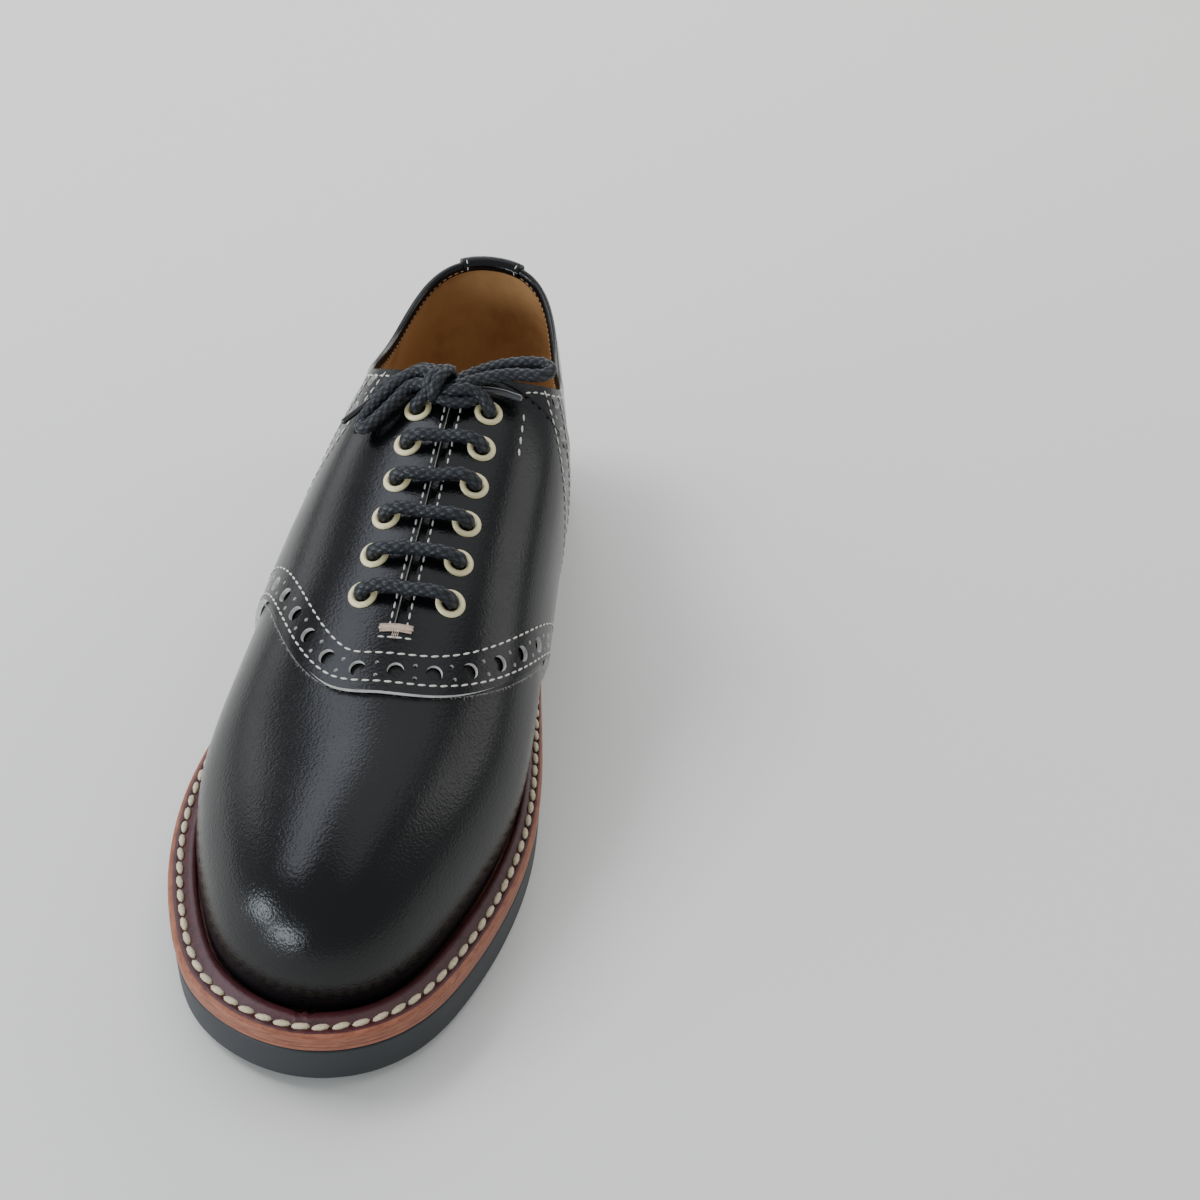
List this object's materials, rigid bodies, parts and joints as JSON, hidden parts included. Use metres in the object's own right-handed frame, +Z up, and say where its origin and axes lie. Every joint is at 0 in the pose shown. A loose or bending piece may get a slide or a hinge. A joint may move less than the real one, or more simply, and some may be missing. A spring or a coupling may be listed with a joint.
{
  "type": "saddle shoe",
  "caption": "Right-foot saddle shoe with a plain toe, a punched saddle over the instep, laced to a bow, on a welted rubber sole with a low heel.",
  "frame": {"origin": "middle of the whole shoe's box, on the floor", "axes": "+Z up; +Y from the toe to the heel; +X towards the inner side of the foot"},
  "size_m": [0.1022, 0.3002, 0.1157],
  "materials": {
    "upper_leather": "gloss",
    "welt_leather": "satin",
    "natural_leather": "satin",
    "insole_leather": "satin",
    "rubber": "matt",
    "eyelet_metal": "gloss",
    "lace": "waxed"
  },
  "bodies": {
    "root": {"outsole": "rubber", "heel": "rubber", "midsole": "natural_leather", "welt": "welt_leather", "insole": "insole_leather", "upper": "upper_leather", "saddle": "upper_leather", "tongue": "upper_leather", "back_tab": "upper_leather", "eyelet_outer_1": "eyelet_metal", "eyelet_inner_1": "eyelet_metal", "eyelet_outer_2": "eyelet_metal", "eyelet_inner_2": "eyelet_metal", "eyelet_outer_3": "eyelet_metal", "eyelet_inner_3": "eyelet_metal", "eyelet_outer_4": "eyelet_metal", "eyelet_inner_4": "eyelet_metal", "eyelet_outer_5": "eyelet_metal", "eyelet_inner_5": "eyelet_metal", "eyelet_outer_6": "eyelet_metal", "eyelet_inner_6": "eyelet_metal", "lace_bar_2": "lace", "lace_bar_3": "lace", "lace_bar_4": "lace", "lace_bar_5": "lace", "lace_bar_6": "lace", "lace_bow": "lace"}
  },
  "joints": []
}
